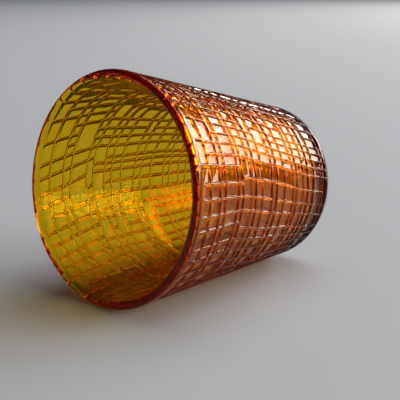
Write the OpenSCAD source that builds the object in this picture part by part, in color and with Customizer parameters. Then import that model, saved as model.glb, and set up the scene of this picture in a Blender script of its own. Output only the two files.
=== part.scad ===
// Tealight holder: a tapered pressed-glass cup with a raised lattice of ribs.
// The cup stands on its base, +Z runs up the axis, the origin is the base centre.

/* [Cup] */

// Outside diameter across the rim
rim_d = 75; // [65:1:95]
// Outside diameter of the wall just above the heel
base_d = 56; // [50:1:80]
// Height from the table to the top of the rim
cup_h = 86; // [60:1:110]

/* [Glass thickness] */

// Thickness of the wall from the inside to the rib crests
wall_t = 2.9; // [2.4:0.1:4]
// Thickness of the solid glass under the candle
floor_t = 8; // [5:0.5:12]

/* [Edges] */

// Radius of the heel between the wall and the base
heel_r = 7; // [4:0.5:9]
// Radius of the fillet between the inside wall and the candle seat
well_r = 4; // [2:0.5:6]
// Depth of the recess under the base
punt_h = 1; // [0.5:0.1:2]
// Width of the flat standing ring around the recess
foot_w = 4; // [2:0.5:6]

/* [Relief] */

// Height of the smooth band below the rim
band_h = 2.8; // [2.4:0.1:8]
// Height of the ribs above the panels
rib_h = 0.6; // [0.3:0.05:0.9]
// Width of a rib across its crest
rib_w = 0.8; // [0.5:0.1:1.4]
// Number of long ribs that run from the rim to the heel
rib_count = 44; // [30:1:56]

/* [Hidden] */

// Smoothness of the round shapes
$fn = 128;
// Heights of the panel rows, from the rim down to the heel, as shares of the relief
row_shares = [4.3, 5.3, 3.1, 6.9, 2.7, 4.8, 3.1, 4.1, 6.1, 3.2, 4.8, 5.9, 2.8, 4.5, 3.4, 4.1, 6.3, 2.4];
// Distance that the long ribs stay below the crests of the ring ribs
long_drop = 0.12;
// Run of a rib's sloping side for each unit of its height
side_run = 0.8;
// Depth that a long rib is rooted in the wall
root_h = 0.5;
// Distance that a cutting shape reaches past the surface that it cuts
cut_over = 1;
// Distance that the wall's straight lines run inside the rounds that they meet
seam = 0.0005;
// Angle that the heel round runs on inside the wall
heel_lap = 3;

rim_r = rim_d / 2;
base_r = base_d / 2;
bead_r = wall_t / 2;

// Centres of the heel, rim and well rounds in the section, as [radius, height]
heel_c = [base_r - heel_r, heel_r];
bead_c = [rim_r - bead_r, cup_h - bead_r];
lean = atan((bead_c[0] - heel_c[0]) / (bead_c[1] - heel_c[1]));
taper = lean - asin((heel_r - bead_r) / norm(bead_c - heel_c));
along = [sin(taper), cos(taper)];
outward = [cos(taper), -sin(taper)];
well_z = floor_t + well_r;
well_x = (outward * bead_c - bead_r - well_r + 2 * seam + sin(taper) * well_z) / cos(taper);
well_c = [well_x, well_z];

// Ends of the straight outside and inside lines of the wall
wall_low = heel_c + (heel_r - seam) * outward;
wall_high = bead_c + (bead_r - seam) * outward;
inner_high = bead_c - (bead_r - seam) * outward;
inner_low = well_c + (well_r - seam) * outward;

punt_r = heel_c[0] - foot_w;
side_w = side_run * rib_h;
relief_len = (cup_h - band_h - wall_low[1]) / cos(taper);
rib_end = rib_w / 4;
row_count = len(row_shares);

// Sum of the first n row shares
function share_sum(n) = n == 0 ? 0 : row_shares[n - 1] + share_sum(n - 1);

// Place along the wall of the ring rib above row n, measured up from the heel
function ring_at(n) = relief_len * (1 - share_sum(n) / share_sum(row_count));

// Point of the section that lies s along the wall and d outside its crest line
function wall_point(s, d) = wall_low + s * along + d * outward;

// Round of the heel, from the standing ring to just inside the wall, rooted halfway up the floor
module heel_section() {
  reach = 2 * heel_r;
  last = [cos(taper - heel_lap), -sin(taper - heel_lap)];
  translate(heel_c) intersection() {
    circle(r = heel_r);
    polygon([
      [0, floor_t / 2 - heel_r],
      [0, -reach],
      [reach, -reach],
      reach * last,
      (heel_r - wall_t / 2) * last
    ]);
  }
}

// Section of the smooth glass with its round rim, heel, well and standing ring
module smooth_section() {
  difference() {
    union() {
      polygon([
        [0, 0],
        [heel_c[0], 0],
        wall_low,
        wall_high,
        inner_high,
        inner_low,
        [well_x, floor_t],
        [0, floor_t]
      ]);
      heel_section();
      translate(bead_c) circle(r = bead_r);
    }
    translate(well_c) circle(r = well_r);
    polygon([[0, -cut_over], [punt_r, -cut_over], [punt_r, 0], [punt_r - punt_h, punt_h], [0, punt_h]]);
  }
}

// Section of the sunk row of panels between two ring ribs
module row_section(low, high) {
  polygon([
    wall_point(low + rib_w / 2 - side_run * cut_over, cut_over),
    wall_point(low + rib_w / 2 + side_w, -rib_h),
    wall_point(high - rib_w / 2 - side_w, -rib_h),
    wall_point(high - rib_w / 2 + side_run * cut_over, cut_over)
  ]);
}

// Glass of revolution: the cup with all its ring ribs
module ringed_cup() {
  rotate_extrude() difference() {
    smooth_section();
    for (n = [0 : row_count - 1]) row_section(ring_at(n + 1), ring_at(n));
  }
}

// One straight rib on the wall, with its ends inside the lowest and highest ring ribs
module long_rib() {
  foot = wall_point(rib_end, 0);
  translate([foot[0], 0, foot[1]])
    rotate([0, taper, 0])
      linear_extrude(height = relief_len - 2 * rib_end)
        polygon([
          [-rib_h - root_h, -rib_w / 2 - side_w],
          [-rib_h, -rib_w / 2 - side_w],
          [-long_drop, -rib_w / 2],
          [-long_drop, rib_w / 2],
          [-rib_h, rib_w / 2 + side_w],
          [-rib_h - root_h, rib_w / 2 + side_w]
        ]);
}

// The whole pressed cup: a single piece of amber glass
module glass_cup() {
  color([0.72, 0.42, 0.08, 0.45]) union() {
    ringed_cup();
    for (i = [0 : rib_count - 1]) rotate([0, 0, i * 360 / rib_count]) long_rib();
  }
}

glass_cup();
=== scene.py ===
"""Tealight holder of pressed amber glass, lying on its side on a pale table.

The cup is one piece of glass. Its outside carries a raised lattice like a loose weave: ring
ribs at uneven heights, crossed by long ribs that lean, wander and stop at some of the rings.
"""

import logging
import math
import random
from dataclasses import dataclass, field
from enum import Enum

import bmesh
import bpy
from mathutils import Matrix, Vector


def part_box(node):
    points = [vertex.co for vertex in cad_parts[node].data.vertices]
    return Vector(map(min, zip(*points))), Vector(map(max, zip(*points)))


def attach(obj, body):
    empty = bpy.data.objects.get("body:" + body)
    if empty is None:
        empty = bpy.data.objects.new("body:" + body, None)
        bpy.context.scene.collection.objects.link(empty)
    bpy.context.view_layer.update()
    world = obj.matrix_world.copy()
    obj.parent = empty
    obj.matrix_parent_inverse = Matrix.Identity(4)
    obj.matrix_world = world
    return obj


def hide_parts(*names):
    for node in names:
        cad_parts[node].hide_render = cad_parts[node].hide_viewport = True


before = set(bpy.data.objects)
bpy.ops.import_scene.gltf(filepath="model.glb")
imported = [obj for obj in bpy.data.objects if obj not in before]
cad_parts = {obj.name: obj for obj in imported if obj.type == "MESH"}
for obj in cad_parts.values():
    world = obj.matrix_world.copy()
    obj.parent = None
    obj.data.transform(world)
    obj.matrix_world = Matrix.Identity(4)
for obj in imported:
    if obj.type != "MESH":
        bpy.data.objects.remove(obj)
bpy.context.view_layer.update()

MM = 0.001
CUT_GAP_MM = 1e-4
WELD_GAP_MM = 1e-3
GLASS_BOUNCES = 32
GLOSS_BOUNCES = 16
LOG = logging.getLogger("tealight_holder")


def srgb(code: str) -> tuple[float, float, float, float]:
    """Turn an sRGB hex colour into a linear one.

    Args:
        code: six hex digits after a hash sign.

    Returns:
        Linear red, green, blue and an alpha of one.
    """
    parts = [int(code[i:i + 2], 16) / 255 for i in (1, 3, 5)]
    linear = [c / 12.92 if c <= 0.04045 else ((c + 0.055) / 1.055) ** 2.4 for c in parts]
    return linear[0], linear[1], linear[2], 1.0


def add_node(
    tree: bpy.types.NodeTree,
    kind: str,
    settings: dict | None = None,
    inputs: dict | None = None,
) -> bpy.types.Node:
    """Add one node to a tree, with its settings, values and links.

    Args:
        tree: the node tree.
        kind: the node's type name.
        settings: attributes set on the node.
        inputs: socket name or number, to a value or to an output socket that feeds it.

    Returns:
        The new node.
    """
    node = tree.nodes.new(kind)
    for key, value in (settings or {}).items():
        setattr(node, key, value)
    for key, value in (inputs or {}).items():
        if isinstance(value, bpy.types.NodeSocket):
            tree.links.new(value, node.inputs[key])
        else:
            node.inputs[key].default_value = value
    return node


def empty_material(name: str) -> bpy.types.Material:
    """Make a material with an empty node tree.

    Args:
        name: the material's name.

    Returns:
        The material.
    """
    material = bpy.data.materials.new(name)
    material.use_nodes = True
    material.node_tree.nodes.clear()
    return material


@dataclass(frozen=True)
class AmberGlass:
    """Soda-lime glass, coloured through with iron and sulphur, pressed and fire-polished.

    Thin walls look olive gold, and long paths along the rim and the base look dark red,
    because the colour comes from the depth of glass that the light crosses. The plunger
    leaves faint ripples drawn up the inside wall, which break a window's reflection into
    streaks, and the outside keeps the mould's flatter polish. Reflections are tinted warmer
    than real glass gives them, for the look alone.
    """

    name: str = "pressed_amber_soda_lime_glass"
    ior: float = 1.52
    through_colour: str = "#FCF000"
    density_per_mm: float = 1.5
    reflection_tint: str = "#FFDDB8"
    ripple_mm: float = 3.2
    ripple_stretch: float = 0.35
    ripple_depth_mm: float = 0.06
    outside_share: float = 0.08

    def build(self) -> bpy.types.Material:
        """Make the glass material.

        Returns:
            The material.
        """
        material = empty_material(self.name)
        tree = material.node_tree
        place = add_node(tree, "ShaderNodeTexCoord").outputs["Object"]
        drawn_out = add_node(
            tree,
            "ShaderNodeMapping",
            inputs={"Vector": place, "Scale": (1.0, 1.0, self.ripple_stretch)},
        )
        ripple = add_node(
            tree,
            "ShaderNodeTexNoise",
            inputs={
                "Vector": drawn_out.outputs["Vector"],
                "Scale": 1 / (self.ripple_mm * MM),
                "Detail": 0.0,
            },
        )
        inside = add_node(tree, "ShaderNodeAttribute", settings={"attribute_name": "inner_wall"})
        strength = add_node(
            tree,
            "ShaderNodeMapRange",
            inputs={"Value": inside.outputs["Fac"], "To Min": self.outside_share, "To Max": 1.0},
        )
        bump = add_node(
            tree,
            "ShaderNodeBump",
            inputs={
                "Height": ripple.outputs["Fac"],
                "Strength": strength.outputs["Result"],
                "Distance": self.ripple_depth_mm * MM,
            },
        )
        glass = add_node(
            tree,
            "ShaderNodeBsdfPrincipled",
            inputs={
                "Base Color": (1.0, 1.0, 1.0, 1.0),
                "Transmission Weight": 1.0,
                "IOR": self.ior,
                "Roughness": 0.0,
                "Specular Tint": srgb(self.reflection_tint),
                "Normal": bump.outputs["Normal"],
            },
        )
        depth = add_node(
            tree,
            "ShaderNodeVolumeAbsorption",
            inputs={"Color": srgb(self.through_colour), "Density": self.density_per_mm / MM},
        )
        add_node(
            tree,
            "ShaderNodeOutputMaterial",
            inputs={"Surface": glass.outputs["BSDF"], "Volume": depth.outputs["Volume"]},
        )
        return material


@dataclass(frozen=True)
class MattTable:
    """Painted board with an eggshell finish: a pale grey that takes a soft sheen.

    It is clear from the underside, so that the cup can be looked at from every side.
    """

    name: str = "eggshell_painted_board"
    colour: str = "#D6D6D5"
    roughness: float = 0.8
    roughness_spread: float = 0.05
    specular: float = 0.3
    mottle_mm: float = 90.0
    mottle_detail: float = 2.0

    def build(self) -> bpy.types.Material:
        """Make the table's material.

        Returns:
            The material.
        """
        material = empty_material(self.name)
        tree = material.node_tree
        place = add_node(tree, "ShaderNodeTexCoord").outputs["Object"]
        mottle = add_node(
            tree,
            "ShaderNodeTexNoise",
            inputs={
                "Vector": place,
                "Scale": 1 / (self.mottle_mm * MM),
                "Detail": self.mottle_detail,
            },
        )
        rough = add_node(
            tree,
            "ShaderNodeMapRange",
            inputs={
                "Value": mottle.outputs["Fac"],
                "To Min": self.roughness - self.roughness_spread,
                "To Max": self.roughness + self.roughness_spread,
            },
        )
        paint = add_node(
            tree,
            "ShaderNodeBsdfPrincipled",
            inputs={
                "Base Color": srgb(self.colour),
                "Roughness": rough.outputs["Result"],
                "Specular IOR Level": self.specular,
            },
        )
        clear = add_node(tree, "ShaderNodeBsdfTransparent")
        side = add_node(tree, "ShaderNodeNewGeometry").outputs["Backfacing"]
        both = add_node(
            tree,
            "ShaderNodeMixShader",
            inputs={"Fac": side, 1: paint.outputs["BSDF"], 2: clear.outputs["BSDF"]},
        )
        add_node(tree, "ShaderNodeOutputMaterial", inputs={"Surface": both.outputs["Shader"]})
        return material


@dataclass
class CupShape:
    """Sizes of the cup in millimetres, and the section that they give.

    The steps are counts of straight pieces in each part of the section. The disc rings are
    shares of the radius where the flat floor and recess get a ring of edges.
    """

    rim_r: float = 37.5
    height: float = 86.0
    base_r: float = 28.0
    wall: float = 2.9
    floor: float = 8.0
    heel_r: float = 7.0
    well_r: float = 4.0
    recess: float = 1.0
    foot_w: float = 4.0
    band: float = 2.8
    foot_edge: float = 0.3
    bead_steps: int = 10
    wall_steps: int = 14
    well_steps: int = 5
    heel_steps: int = 7
    disc_rings: tuple[float, ...] = (0.85, 0.5, 0.2)

    @property
    def bead_r(self) -> float:
        """Radius of the round rim."""
        return self.wall / 2

    @property
    def heel_centre(self) -> Vector:
        """Centre of the heel round, as radius and height."""
        return Vector((self.base_r - self.heel_r, self.heel_r))

    @property
    def bead_centre(self) -> Vector:
        """Centre of the rim round, as radius and height."""
        return Vector((self.rim_r - self.bead_r, self.height - self.bead_r))

    @property
    def taper(self) -> float:
        """Angle between the wall and the axis, in radians."""
        run = self.bead_centre - self.heel_centre
        return math.atan2(run.x, run.y) - math.asin((self.heel_r - self.bead_r) / run.length)

    @property
    def along(self) -> Vector:
        """Direction up the wall in the section."""
        return Vector((math.sin(self.taper), math.cos(self.taper)))

    @property
    def outward(self) -> Vector:
        """Direction out of the wall in the section."""
        return Vector((math.cos(self.taper), -math.sin(self.taper)))

    @property
    def wall_low(self) -> Vector:
        """Foot of the straight outside line of the wall."""
        return self.heel_centre + self.heel_r * self.outward

    @property
    def relief_len(self) -> float:
        """Length of the lattice, measured along the wall."""
        return (self.height - self.band - self.wall_low.y) / math.cos(self.taper)

    @property
    def well_centre(self) -> Vector:
        """Centre of the round between the inside wall and the floor."""
        z = self.floor + self.well_r
        inside = self.outward.dot(self.bead_centre) - self.bead_r
        return Vector(((inside - self.well_r + math.sin(self.taper) * z) / math.cos(self.taper), z))

    def wall_point(self, s: float, d: float) -> Vector:
        """Give a point of the section on or near the outside of the wall.

        Args:
            s: distance up the wall from its foot.
            d: distance outside the crest line.

        Returns:
            The point's radius and height.
        """
        return self.wall_low + s * self.along + d * self.outward

    @staticmethod
    def arc(centre: Vector, radius: float, start: float, end: float, steps: int) -> list[Vector]:
        """Give the points of an arc of the section, without its first point.

        Args:
            centre: the arc's centre.
            radius: its radius.
            start: its first angle, in radians from the outward radius.
            end: its last angle.
            steps: the number of steps.

        Returns:
            The points, from the first step to the end.
        """
        turns = [start + (end - start) * i / steps for i in range(1, steps + 1)]
        return [centre + radius * Vector((math.cos(t), math.sin(t))) for t in turns]

    def inside_path(self) -> list[Vector]:
        """Give the section from the top of the lattice over the rim and down to the floor.

        Returns:
            The points in order, ending near the middle of the floor.
        """
        wall_high = self.bead_centre + self.bead_r * self.outward
        path = [wall_high]
        half_turn = math.pi - self.taper
        path += self.arc(self.bead_centre, self.bead_r, -self.taper, half_turn, self.bead_steps)
        inner_low = self.well_centre + self.well_r * self.outward
        top = path[-1]
        steps = range(1, self.wall_steps + 1)
        path += [top.lerp(inner_low, i / self.wall_steps) for i in steps]
        path += self.arc(self.well_centre, self.well_r, -self.taper, -math.pi / 2, self.well_steps)
        path += [Vector((self.well_centre.x * share, self.floor)) for share in self.disc_rings]
        return path

    def underside_path(self) -> list[Vector]:
        """Give the section from the foot of the lattice round the heel and under the base.

        Returns:
            The points in order, ending near the middle of the recess.
        """
        path = self.arc(self.heel_centre, self.heel_r, -self.taper, -math.pi / 2, self.heel_steps)
        foot_in = self.heel_centre.x - self.foot_w
        recess_r = foot_in - self.recess
        path.append(Vector((foot_in + self.foot_edge, 0.0)))
        path.append(Vector((foot_in, self.foot_edge / 2)))
        path.append(Vector((recess_r, self.recess - self.foot_edge / 2)))
        path.append(Vector((recess_r - self.foot_edge, self.recess)))
        path += [Vector((recess_r * share, self.recess)) for share in self.disc_rings]
        return path


@dataclass
class Weave:
    """Lay-out of the lattice on the unrolled wall.

    Lengths are in millimetres. Bearings are in degrees round the cup, from the seam onwards.
    A lean is a mean and a swing in degrees for each millimetre down, and the bearing where the
    swing peaks. A wave of the sway or the swell is its size, its count in a turn, its pace down
    the wall and its start. A gap is a row and the bearing of the rib that it lacks. A lower rib
    that comes within the join of an upper one carries it on.
    """

    length: float
    mean_r: float
    seed: int = 11
    seam_deg: float = -52.0
    rows: tuple[float, ...] = (
        4.3, 5.3, 3.1, 6.9, 2.7, 4.8, 3.1, 4.1, 6.1, 3.2, 4.8, 5.9, 2.8, 4.5, 3.4, 4.1, 6.3, 2.4,
    )
    collar_rows: int = 5
    collar_deg: tuple[float, ...] = (
        -44, -35.5, -27, -17, -8, 1, 8, 15, 22, 29, 35, 41, 48.5, 57, 64, 71.5,
        79, 86, 94, 101, 108.5, 116, 123, 131, 138, 145.5, 152.5, 160, 167.5, 175, 182.5, 189.5,
        197, 203.5, 213, 220, 228, 235.5, 244.5, 250.5, 257, 263, 269, 274.5, 280, 286.5, 293, 300,
    )
    body_deg: tuple[float, ...] = (
        -46, -38, -30, -22, -13, -4, 7.5, 13, 19, 26, 32, 38, 44, 50.5, 58, 65,
        72.5, 80, 87, 95, 102, 110, 117, 125, 132, 140, 147, 155, 162, 170, 177, 183.5,
        190, 197.5, 204, 212, 220, 229.5, 239, 250, 255, 260.5, 266.5, 271.5, 278, 285, 292, 300,
    )
    gaps: tuple[tuple[int, float], ...] = (
        (0, 8), (0, 22), (0, 35), (0, 250.5), (0, 263), (0, 274.5),
        (1, 22), (1, 35), (1, 263), (1, 274.5),
    )
    skip_share: float = 0.05
    join: float = 1.2
    collar_lean: tuple[float, float, float] = (-0.28, -0.38, 20.0)
    body_lean: tuple[float, float, float] = (-0.22, -0.05, 250.0)
    sway: tuple[tuple[float, ...], ...] = ((0.3, 3, 8.0, 0.6), (0.18, 8, -14.0, 0.0))
    swell: tuple[tuple[float, ...], ...] = ((0.22, 5, 17.0, 0.0), (0.14, 13, 31.0, 1.9))
    fade_power: float = 0.5
    dice: random.Random = field(init=False)

    def __post_init__(self) -> None:
        """Seed the generator, so that each run gives the same cup."""
        self.dice = random.Random(self.seed)

    @property
    def turn(self) -> float:
        """Length of one turn of the sheet."""
        return math.tau * self.mean_r

    @property
    def collar_len(self) -> float:
        """Height of the upper family of long ribs."""
        return self.length * sum(self.rows[:self.collar_rows]) / sum(self.rows)

    def ring_heights(self) -> list[float]:
        """Give the heights of the row edges, from the top of the lattice down.

        Returns:
            One more height than there are rows.
        """
        scale = self.length / sum(self.rows)
        heights = [self.length]
        for row in self.rows:
            heights.append(heights[-1] - row * scale)
        heights[-1] = 0.0
        return heights

    def place(self, bearing: float) -> float:
        """Turn a bearing into a place along the sheet."""
        return math.radians(bearing - self.seam_deg) * self.mean_r

    def row_ribs(self) -> list[list[float]]:
        """Choose the long ribs that cross each row.

        Returns:
            For each row, from the top, the places of its ribs along the sheet.
        """
        top_of_body = self.length - self.collar_len
        collar = [(bearing, self.place(bearing)) for bearing in self.collar_deg]
        body = []
        for bearing in self.body_deg:
            at = self.place(bearing)
            at -= self.lean(at, top_of_body)
            near = min((p for _, p in collar), key=lambda p: abs(p - at))
            body.append((bearing, near if abs(near - at) < self.join else at))
        rows = []
        for index in range(len(self.rows)):
            ribs = collar if index < self.collar_rows else body
            rows.append([
                at for bearing, at in ribs
                if self.dice.random() > self.skip_share and (index, bearing) not in self.gaps
            ])
        return rows

    def lean(self, x: float, y: float) -> float:
        """Give how far the long ribs have leaned at a place on the sheet.

        Args:
            x: place along the turn.
            y: height up the wall.

        Returns:
            The shift along the turn.
        """
        bearing = self.seam_deg + math.degrees(x / self.mean_r)
        down = self.length - y
        upper = min(down, self.collar_len)
        parts = ((upper, self.collar_lean), (down - upper, self.body_lean))
        shift = sum(
            run * (mean + swing * math.cos(math.radians(bearing - peak)))
            for run, (mean, swing, peak) in parts
        )
        return math.radians(shift) * self.mean_r

    def drift(self, x: float, y: float) -> tuple[float, float]:
        """Give the lean and wander of the lattice at a place on the sheet.

        Args:
            x: place along the turn.
            y: height up the wall.

        Returns:
            The shift along the turn and the shift up the wall.
        """
        turned = x / self.turn * math.tau
        down = 1 - y / self.length
        fade = math.sin(math.pi * min(max(down, 0.0), 1.0)) ** self.fade_power
        across, up = (
            sum(
                size * math.sin(count * turned + pace * down + start)
                for size, count, pace, start in waves
            )
            for waves in (self.sway, self.swell)
        )
        return self.lean(x, y) + across * fade, up * fade


class End(Enum):
    """The two ends of the patterned wall, where the plain skin goes on."""

    MOUTH = "mouth"
    BASE = "base"


@dataclass
class GlassCup:
    """The pressed glass cup: lattice outside, smooth inside, one closed skin.

    The rib profile is the run and the drop of each step from a crest down to a panel. The
    corner reach is how far a cell's rounded corner goes along its sides. The long and short
    sides are counts of that reach: a longer side is split near both ends, or else in the middle.
    """

    shape: CupShape
    finish: AmberGlass
    node: str = "glass_cup"
    rib_profile: tuple[tuple[float, float], ...] = (
        (0.13, 0.03), (0.15, 0.11), (0.13, 0.18), (0.12, 0.17), (0.14, 0.03),
    )
    mean_r: float = 33.0
    step_deg: float = 2.8
    corner_reach: float = 1.15
    long_side: float = 2.4
    short_side: float = 1.4

    def build(self) -> bpy.types.Object:
        """Build the cup as one object and put it on its body.

        Returns:
            The finished object.
        """
        mesh = bmesh.new()
        weave = Weave(self.shape.relief_len, self.mean_r)
        self.cut_lattice(mesh, weave)
        self.mark_corners(mesh)
        self.press_panels(mesh)
        self.wrap(mesh, weave)
        self.close_skin(mesh)
        bmesh.ops.scale(mesh, vec=(MM, MM, MM), verts=mesh.verts)
        bmesh.ops.recalc_face_normals(mesh, faces=mesh.faces)
        for face in mesh.faces:
            face.smooth = True
        data = bpy.data.meshes.new("pressed_glass_cup")
        mesh.to_mesh(data)
        mesh.free()
        cup = bpy.data.objects.new("pressed_glass_cup", data)
        bpy.context.scene.collection.objects.link(cup)
        data.materials.append(self.finish.build())
        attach(cup, "root")
        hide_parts(self.node)
        return cup

    def cut_lattice(self, mesh: bmesh.types.BMesh, weave: Weave) -> None:
        """Cut a flat sheet into the lattice's cells.

        Args:
            mesh: an empty mesh, which gets the sheet.
            weave: the lay-out of the lattice.
        """
        made = bmesh.ops.create_grid(mesh, x_segments=1, y_segments=1, size=0.5)
        bmesh.ops.scale(mesh, vec=(weave.turn, weave.length, 1), verts=made["verts"])
        bmesh.ops.translate(mesh, vec=(weave.turn / 2, weave.length / 2, 0), verts=made["verts"])
        heights = weave.ring_heights()
        for height in heights[1:-1]:
            self.cut(mesh, list(mesh.faces), (0, height, 0), (0, 1, 0))
        for high, low, ribs in zip(heights, heights[1:], weave.row_ribs()):
            for place in ribs:
                row = [f for f in mesh.faces if low < f.calc_center_median().y < high]
                self.cut(mesh, row, (place, 0, 0), (1, 0, 0))

    @staticmethod
    def cut(
        mesh: bmesh.types.BMesh,
        faces: list[bmesh.types.BMFace],
        point: tuple[float, float, float],
        normal: tuple[float, float, float],
    ) -> None:
        """Cut some faces of the sheet along a plane.

        Args:
            mesh: the mesh.
            faces: the faces to cut.
            point: a point of the plane.
            normal: the plane's normal.
        """
        edges = dict.fromkeys(e for f in faces for e in f.edges)
        verts = dict.fromkeys(v for f in faces for v in f.verts)
        bmesh.ops.bisect_plane(
            mesh,
            geom=[*faces, *edges, *verts],
            dist=CUT_GAP_MM,
            plane_co=point,
            plane_no=normal,
        )

    def mark_corners(self, mesh: bmesh.types.BMesh) -> None:
        """Split each cell's sides near its corners, so that only the corners are rounded.

        Args:
            mesh: the cut sheet.
        """
        for edge in list(mesh.edges):
            length = edge.calc_length()
            start, end = edge.verts
            if length > self.long_side * self.corner_reach:
                bmesh.utils.edge_split(edge, start, self.corner_reach / length)
                bmesh.utils.edge_split(edge, end, self.corner_reach / (length - self.corner_reach))
            elif length > self.short_side * self.corner_reach:
                bmesh.utils.edge_split(edge, start, 0.5)

    def press_panels(self, mesh: bmesh.types.BMesh) -> None:
        """Sink each cell's panel between its ribs.

        Args:
            mesh: the cut sheet.
        """
        cells = list(mesh.faces)
        if cells[0].normal.z < 0:
            bmesh.ops.reverse_faces(mesh, faces=cells)
        for width, drop in self.rib_profile:
            bmesh.ops.inset_individual(
                mesh,
                faces=cells,
                thickness=width,
                depth=-drop,
                use_even_offset=True,
            )

    def wrap(self, mesh: bmesh.types.BMesh, weave: Weave) -> None:
        """Let the lattice drift, then wrap the sheet round the tapered wall.

        Args:
            mesh: the pressed sheet.
            weave: the lay-out of the lattice.
        """
        for vert in mesh.verts:
            x, y, d = vert.co
            dx, dy = weave.drift(x, y)
            radius, height = self.shape.wall_point(y + dy, d)
            angle = math.radians(weave.seam_deg) + (x + dx) / self.mean_r
            vert.co = (radius * math.cos(angle), radius * math.sin(angle), height)
        bmesh.ops.remove_doubles(mesh, verts=mesh.verts, dist=WELD_GAP_MM)

    def close_skin(self, mesh: bmesh.types.BMesh) -> None:
        """Carry the skin over the rim and down inside, and round the heel and under the base.

        The new skin inside is marked as inner wall, for the glass's ripple.

        Args:
            mesh: the wrapped lattice.
        """
        inner_wall = mesh.verts.layers.float.new("inner_wall")
        rims = {End.MOUTH: [], End.BASE: []}
        for edge in mesh.edges:
            if edge.is_boundary:
                middle = (edge.verts[0].co + edge.verts[1].co) / 2
                rims[End.MOUTH if middle.z > self.shape.height / 2 else End.BASE].append(edge)
        paths = {End.MOUTH: self.shape.inside_path(), End.BASE: self.shape.underside_path()}
        for end, path in paths.items():
            loop = self.rounded(mesh, rims[end])
            outside = set(mesh.verts)
            for point in path:
                loop = self.grow(mesh, loop, point)
            cap = bmesh.ops.contextual_create(mesh, geom=loop)["faces"]
            bmesh.ops.poke(mesh, faces=cap)
            if end is End.MOUTH:
                for vert in set(mesh.verts) - outside:
                    vert[inner_wall] = 1.0

    def rounded(
        self,
        mesh: bmesh.types.BMesh,
        loop: list[bmesh.types.BMEdge],
    ) -> list[bmesh.types.BMEdge]:
        """Split the long edges of a round loop, so that it is a smooth circle.

        Args:
            mesh: the mesh.
            loop: the loop's edges.

        Returns:
            The edges of the finer loop.
        """
        ring = list(loop)
        ends = dict.fromkeys(v for e in loop for v in e.verts)
        radius = sum(v.co.xy.length for v in ends) / len(ends)
        step = math.radians(self.step_deg) * radius
        for edge in loop:
            cuts = math.ceil(edge.calc_length() / step) - 1
            if cuts > 0:
                made = bmesh.ops.subdivide_edges(mesh, edges=[edge], cuts=cuts)
                ring += [g for g in made["geom_split"] if isinstance(g, bmesh.types.BMEdge)]
        ring = [e for e in dict.fromkeys(ring) if e.is_valid and e.is_boundary]
        for vert in {v for e in ring for v in e.verts}:
            vert.co.xy = vert.co.xy.normalized() * radius
        return ring

    @staticmethod
    def grow(
        mesh: bmesh.types.BMesh,
        loop: list[bmesh.types.BMEdge],
        point: Vector,
    ) -> list[bmesh.types.BMEdge]:
        """Extrude a round loop to the next point of the section.

        Args:
            mesh: the mesh.
            loop: the loop's edges.
            point: the radius and height that the new loop gets.

        Returns:
            The new loop's edges.
        """
        made = bmesh.ops.extrude_edge_only(mesh, edges=loop)["geom"]
        verts = [g for g in made if isinstance(g, bmesh.types.BMVert)]
        radius = verts[0].co.xy.length
        factor = point.x / radius
        bmesh.ops.scale(mesh, vec=(factor, factor, 1), verts=verts)
        bmesh.ops.translate(mesh, vec=(0, 0, point.y - verts[0].co.z), verts=verts)
        return [g for g in made if isinstance(g, bmesh.types.BMEdge)]


class Bearing(Enum):
    """Directions on the table, in degrees clockwise from straight away from the camera."""

    AWAY = 0.0
    RIGHT = 90.0


@dataclass(frozen=True)
class SoftLight:
    """A rectangular light that faces the cup.

    Angles are in degrees, seen from the cup. The radiance is in watts per square metre and
    steradian, and the distance is in metres.
    """

    name: str
    bearing: float
    rise: float
    span: tuple[float, float]
    radiance: float
    distance: float
    colour: str = "#FFFFFF"

    def build(self, axes: Matrix) -> None:
        """Hang the light.

        Args:
            axes: the table's axes.
        """
        bearing, rise = math.radians(self.bearing), math.radians(self.rise)
        towards = Vector((
            math.sin(bearing) * math.cos(rise),
            math.cos(bearing) * math.cos(rise),
            math.sin(rise),
        ))
        data = bpy.data.lights.new(self.name, "AREA")
        data.shape = "RECTANGLE"
        data.size, data.size_y = (2 * self.distance * math.tan(math.radians(v / 2)) for v in self.span)
        data.energy = self.radiance * math.pi * data.size * data.size_y
        data.color = srgb(self.colour)[:3]
        light = bpy.data.objects.new(self.name, data)
        bpy.context.scene.collection.objects.link(light)
        turn = towards.to_track_quat("Z", "Y").to_matrix().to_4x4()
        turn.translation = towards * self.distance
        light.matrix_world = axes @ turn


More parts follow.
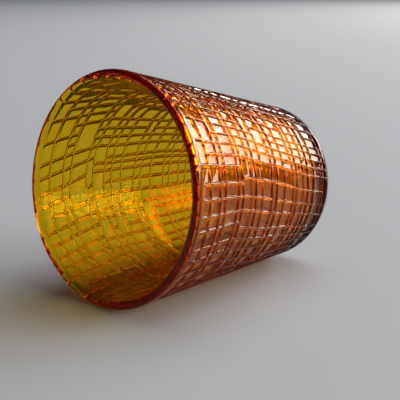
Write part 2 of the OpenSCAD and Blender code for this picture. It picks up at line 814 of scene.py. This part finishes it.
@dataclass
class Studio:
    """The table that the cup lies on, the lights and the camera."""

    shape: CupShape
    finish: MattTable
    contact_deg: float = 135.0
    turn_deg: float = 41.5
    table_size: float = 24.0
    camera_mm: tuple[float, float, float] = (30.8, -283.8, 101.8)
    camera_drop_deg: float = 13.28
    lens_mm: float = 85.0
    sensor_mm: float = 36.0
    clip_m: tuple[float, float] = (0.01, 20.0)
    room_colour: str = "#C3D0DA"
    room_strength: float = 0.08
    lights: tuple[SoftLight, ...] = (
        SoftLight("window", Bearing.RIGHT.value - 20, 18.5, (80.0, 21.0), 6.0, 3.0),
        SoftLight("sky", Bearing.AWAY.value + 50, 66.0, (60.0, 40.0), 1.4, 5.0, colour="#F6F8FF"),
    )

    def table_axes(self) -> Matrix:
        """Give the table's axes: X to the camera's right, Y away from it, Z up.

        Returns:
            The matrix from table axes to the cup's frame. Its origin is where the rim touches.
        """
        bearing = math.radians(self.contact_deg)
        radial = Vector((math.cos(bearing), math.sin(bearing), 0))
        axis = Vector((0, 0, 1))
        up = -(radial * math.cos(self.shape.taper) - axis * math.sin(self.shape.taper))
        mouthward = radial * math.sin(self.shape.taper) + axis * math.cos(self.shape.taper)
        across = up.cross(mouthward)
        turn = math.radians(self.turn_deg)
        right = across * math.cos(turn) - mouthward * math.sin(turn)
        away = -across * math.sin(turn) - mouthward * math.cos(turn)
        bead = self.shape.bead_centre + self.shape.bead_r * self.shape.outward
        touch = (radial * bead.x + axis * bead.y) * MM
        matrix = Matrix((right, away, up)).transposed().to_4x4()
        matrix.translation = touch
        return matrix

    def build(self) -> None:
        """Build the table, the lights and the camera."""
        axes = self.table_axes()
        self.build_table(axes)
        for light in self.lights:
            light.build(axes)
        self.build_world()
        self.build_camera(axes)

    def build_table(self, axes: Matrix) -> None:
        """Lay the table under the cup's side.

        Args:
            axes: the table's axes.
        """
        mesh = bmesh.new()
        bmesh.ops.create_grid(mesh, x_segments=1, y_segments=1, size=self.table_size / 2)
        bmesh.ops.transform(mesh, matrix=axes, verts=mesh.verts)
        data = bpy.data.meshes.new("table")
        mesh.to_mesh(data)
        mesh.free()
        table = bpy.data.objects.new("table", data)
        bpy.context.scene.collection.objects.link(table)
        data.materials.append(self.finish.build())

    def build_world(self) -> None:
        """Fill the room with a dim, cool grey light."""
        world = bpy.data.worlds.new("room")
        bpy.context.scene.world = world
        world.use_nodes = True
        world.node_tree.nodes.clear()
        fill = add_node(
            world.node_tree,
            "ShaderNodeBackground",
            inputs={"Color": srgb(self.room_colour), "Strength": self.room_strength},
        )
        add_node(
            world.node_tree,
            "ShaderNodeOutputWorld",
            inputs={"Surface": fill.outputs["Background"]},
        )

    def build_camera(self, axes: Matrix) -> None:
        """Set the camera in front of the cup, a little above the table.

        Args:
            axes: the table's axes.
        """
        data = bpy.data.cameras.new("camera")
        data.lens = self.lens_mm
        data.sensor_width = self.sensor_mm
        camera = bpy.data.objects.new("camera", data)
        bpy.context.scene.collection.objects.link(camera)
        tilt = Matrix.Rotation(math.radians(90 - self.camera_drop_deg), 4, "X")
        tilt.translation = Vector(self.camera_mm) * MM
        camera.matrix_world = axes @ tilt
        data.clip_start, data.clip_end = self.clip_m
        bpy.context.scene.camera = camera


def main() -> None:
    """Build the cup and its studio, and report each piece."""
    logging.basicConfig(level=logging.INFO, format="%(name)s: %(message)s")
    low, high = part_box("glass_cup")
    shape = CupShape(rim_r=high[0] / MM, height=high[2] / MM)
    cup = GlassCup(shape, AmberGlass()).build()
    LOG.info("%s: %d faces", cup.name, len(cup.data.polygons))
    Studio(shape, MattTable()).build()
    LOG.info("table, lights and camera")
    scene = bpy.context.scene
    scene.view_settings.view_transform = "Standard"
    scene.view_settings.look = "Medium High Contrast"
    scene.cycles.max_bounces = GLASS_BOUNCES
    scene.cycles.transmission_bounces = GLASS_BOUNCES
    scene.cycles.glossy_bounces = GLOSS_BOUNCES


if __name__ == "__main__":
    main()
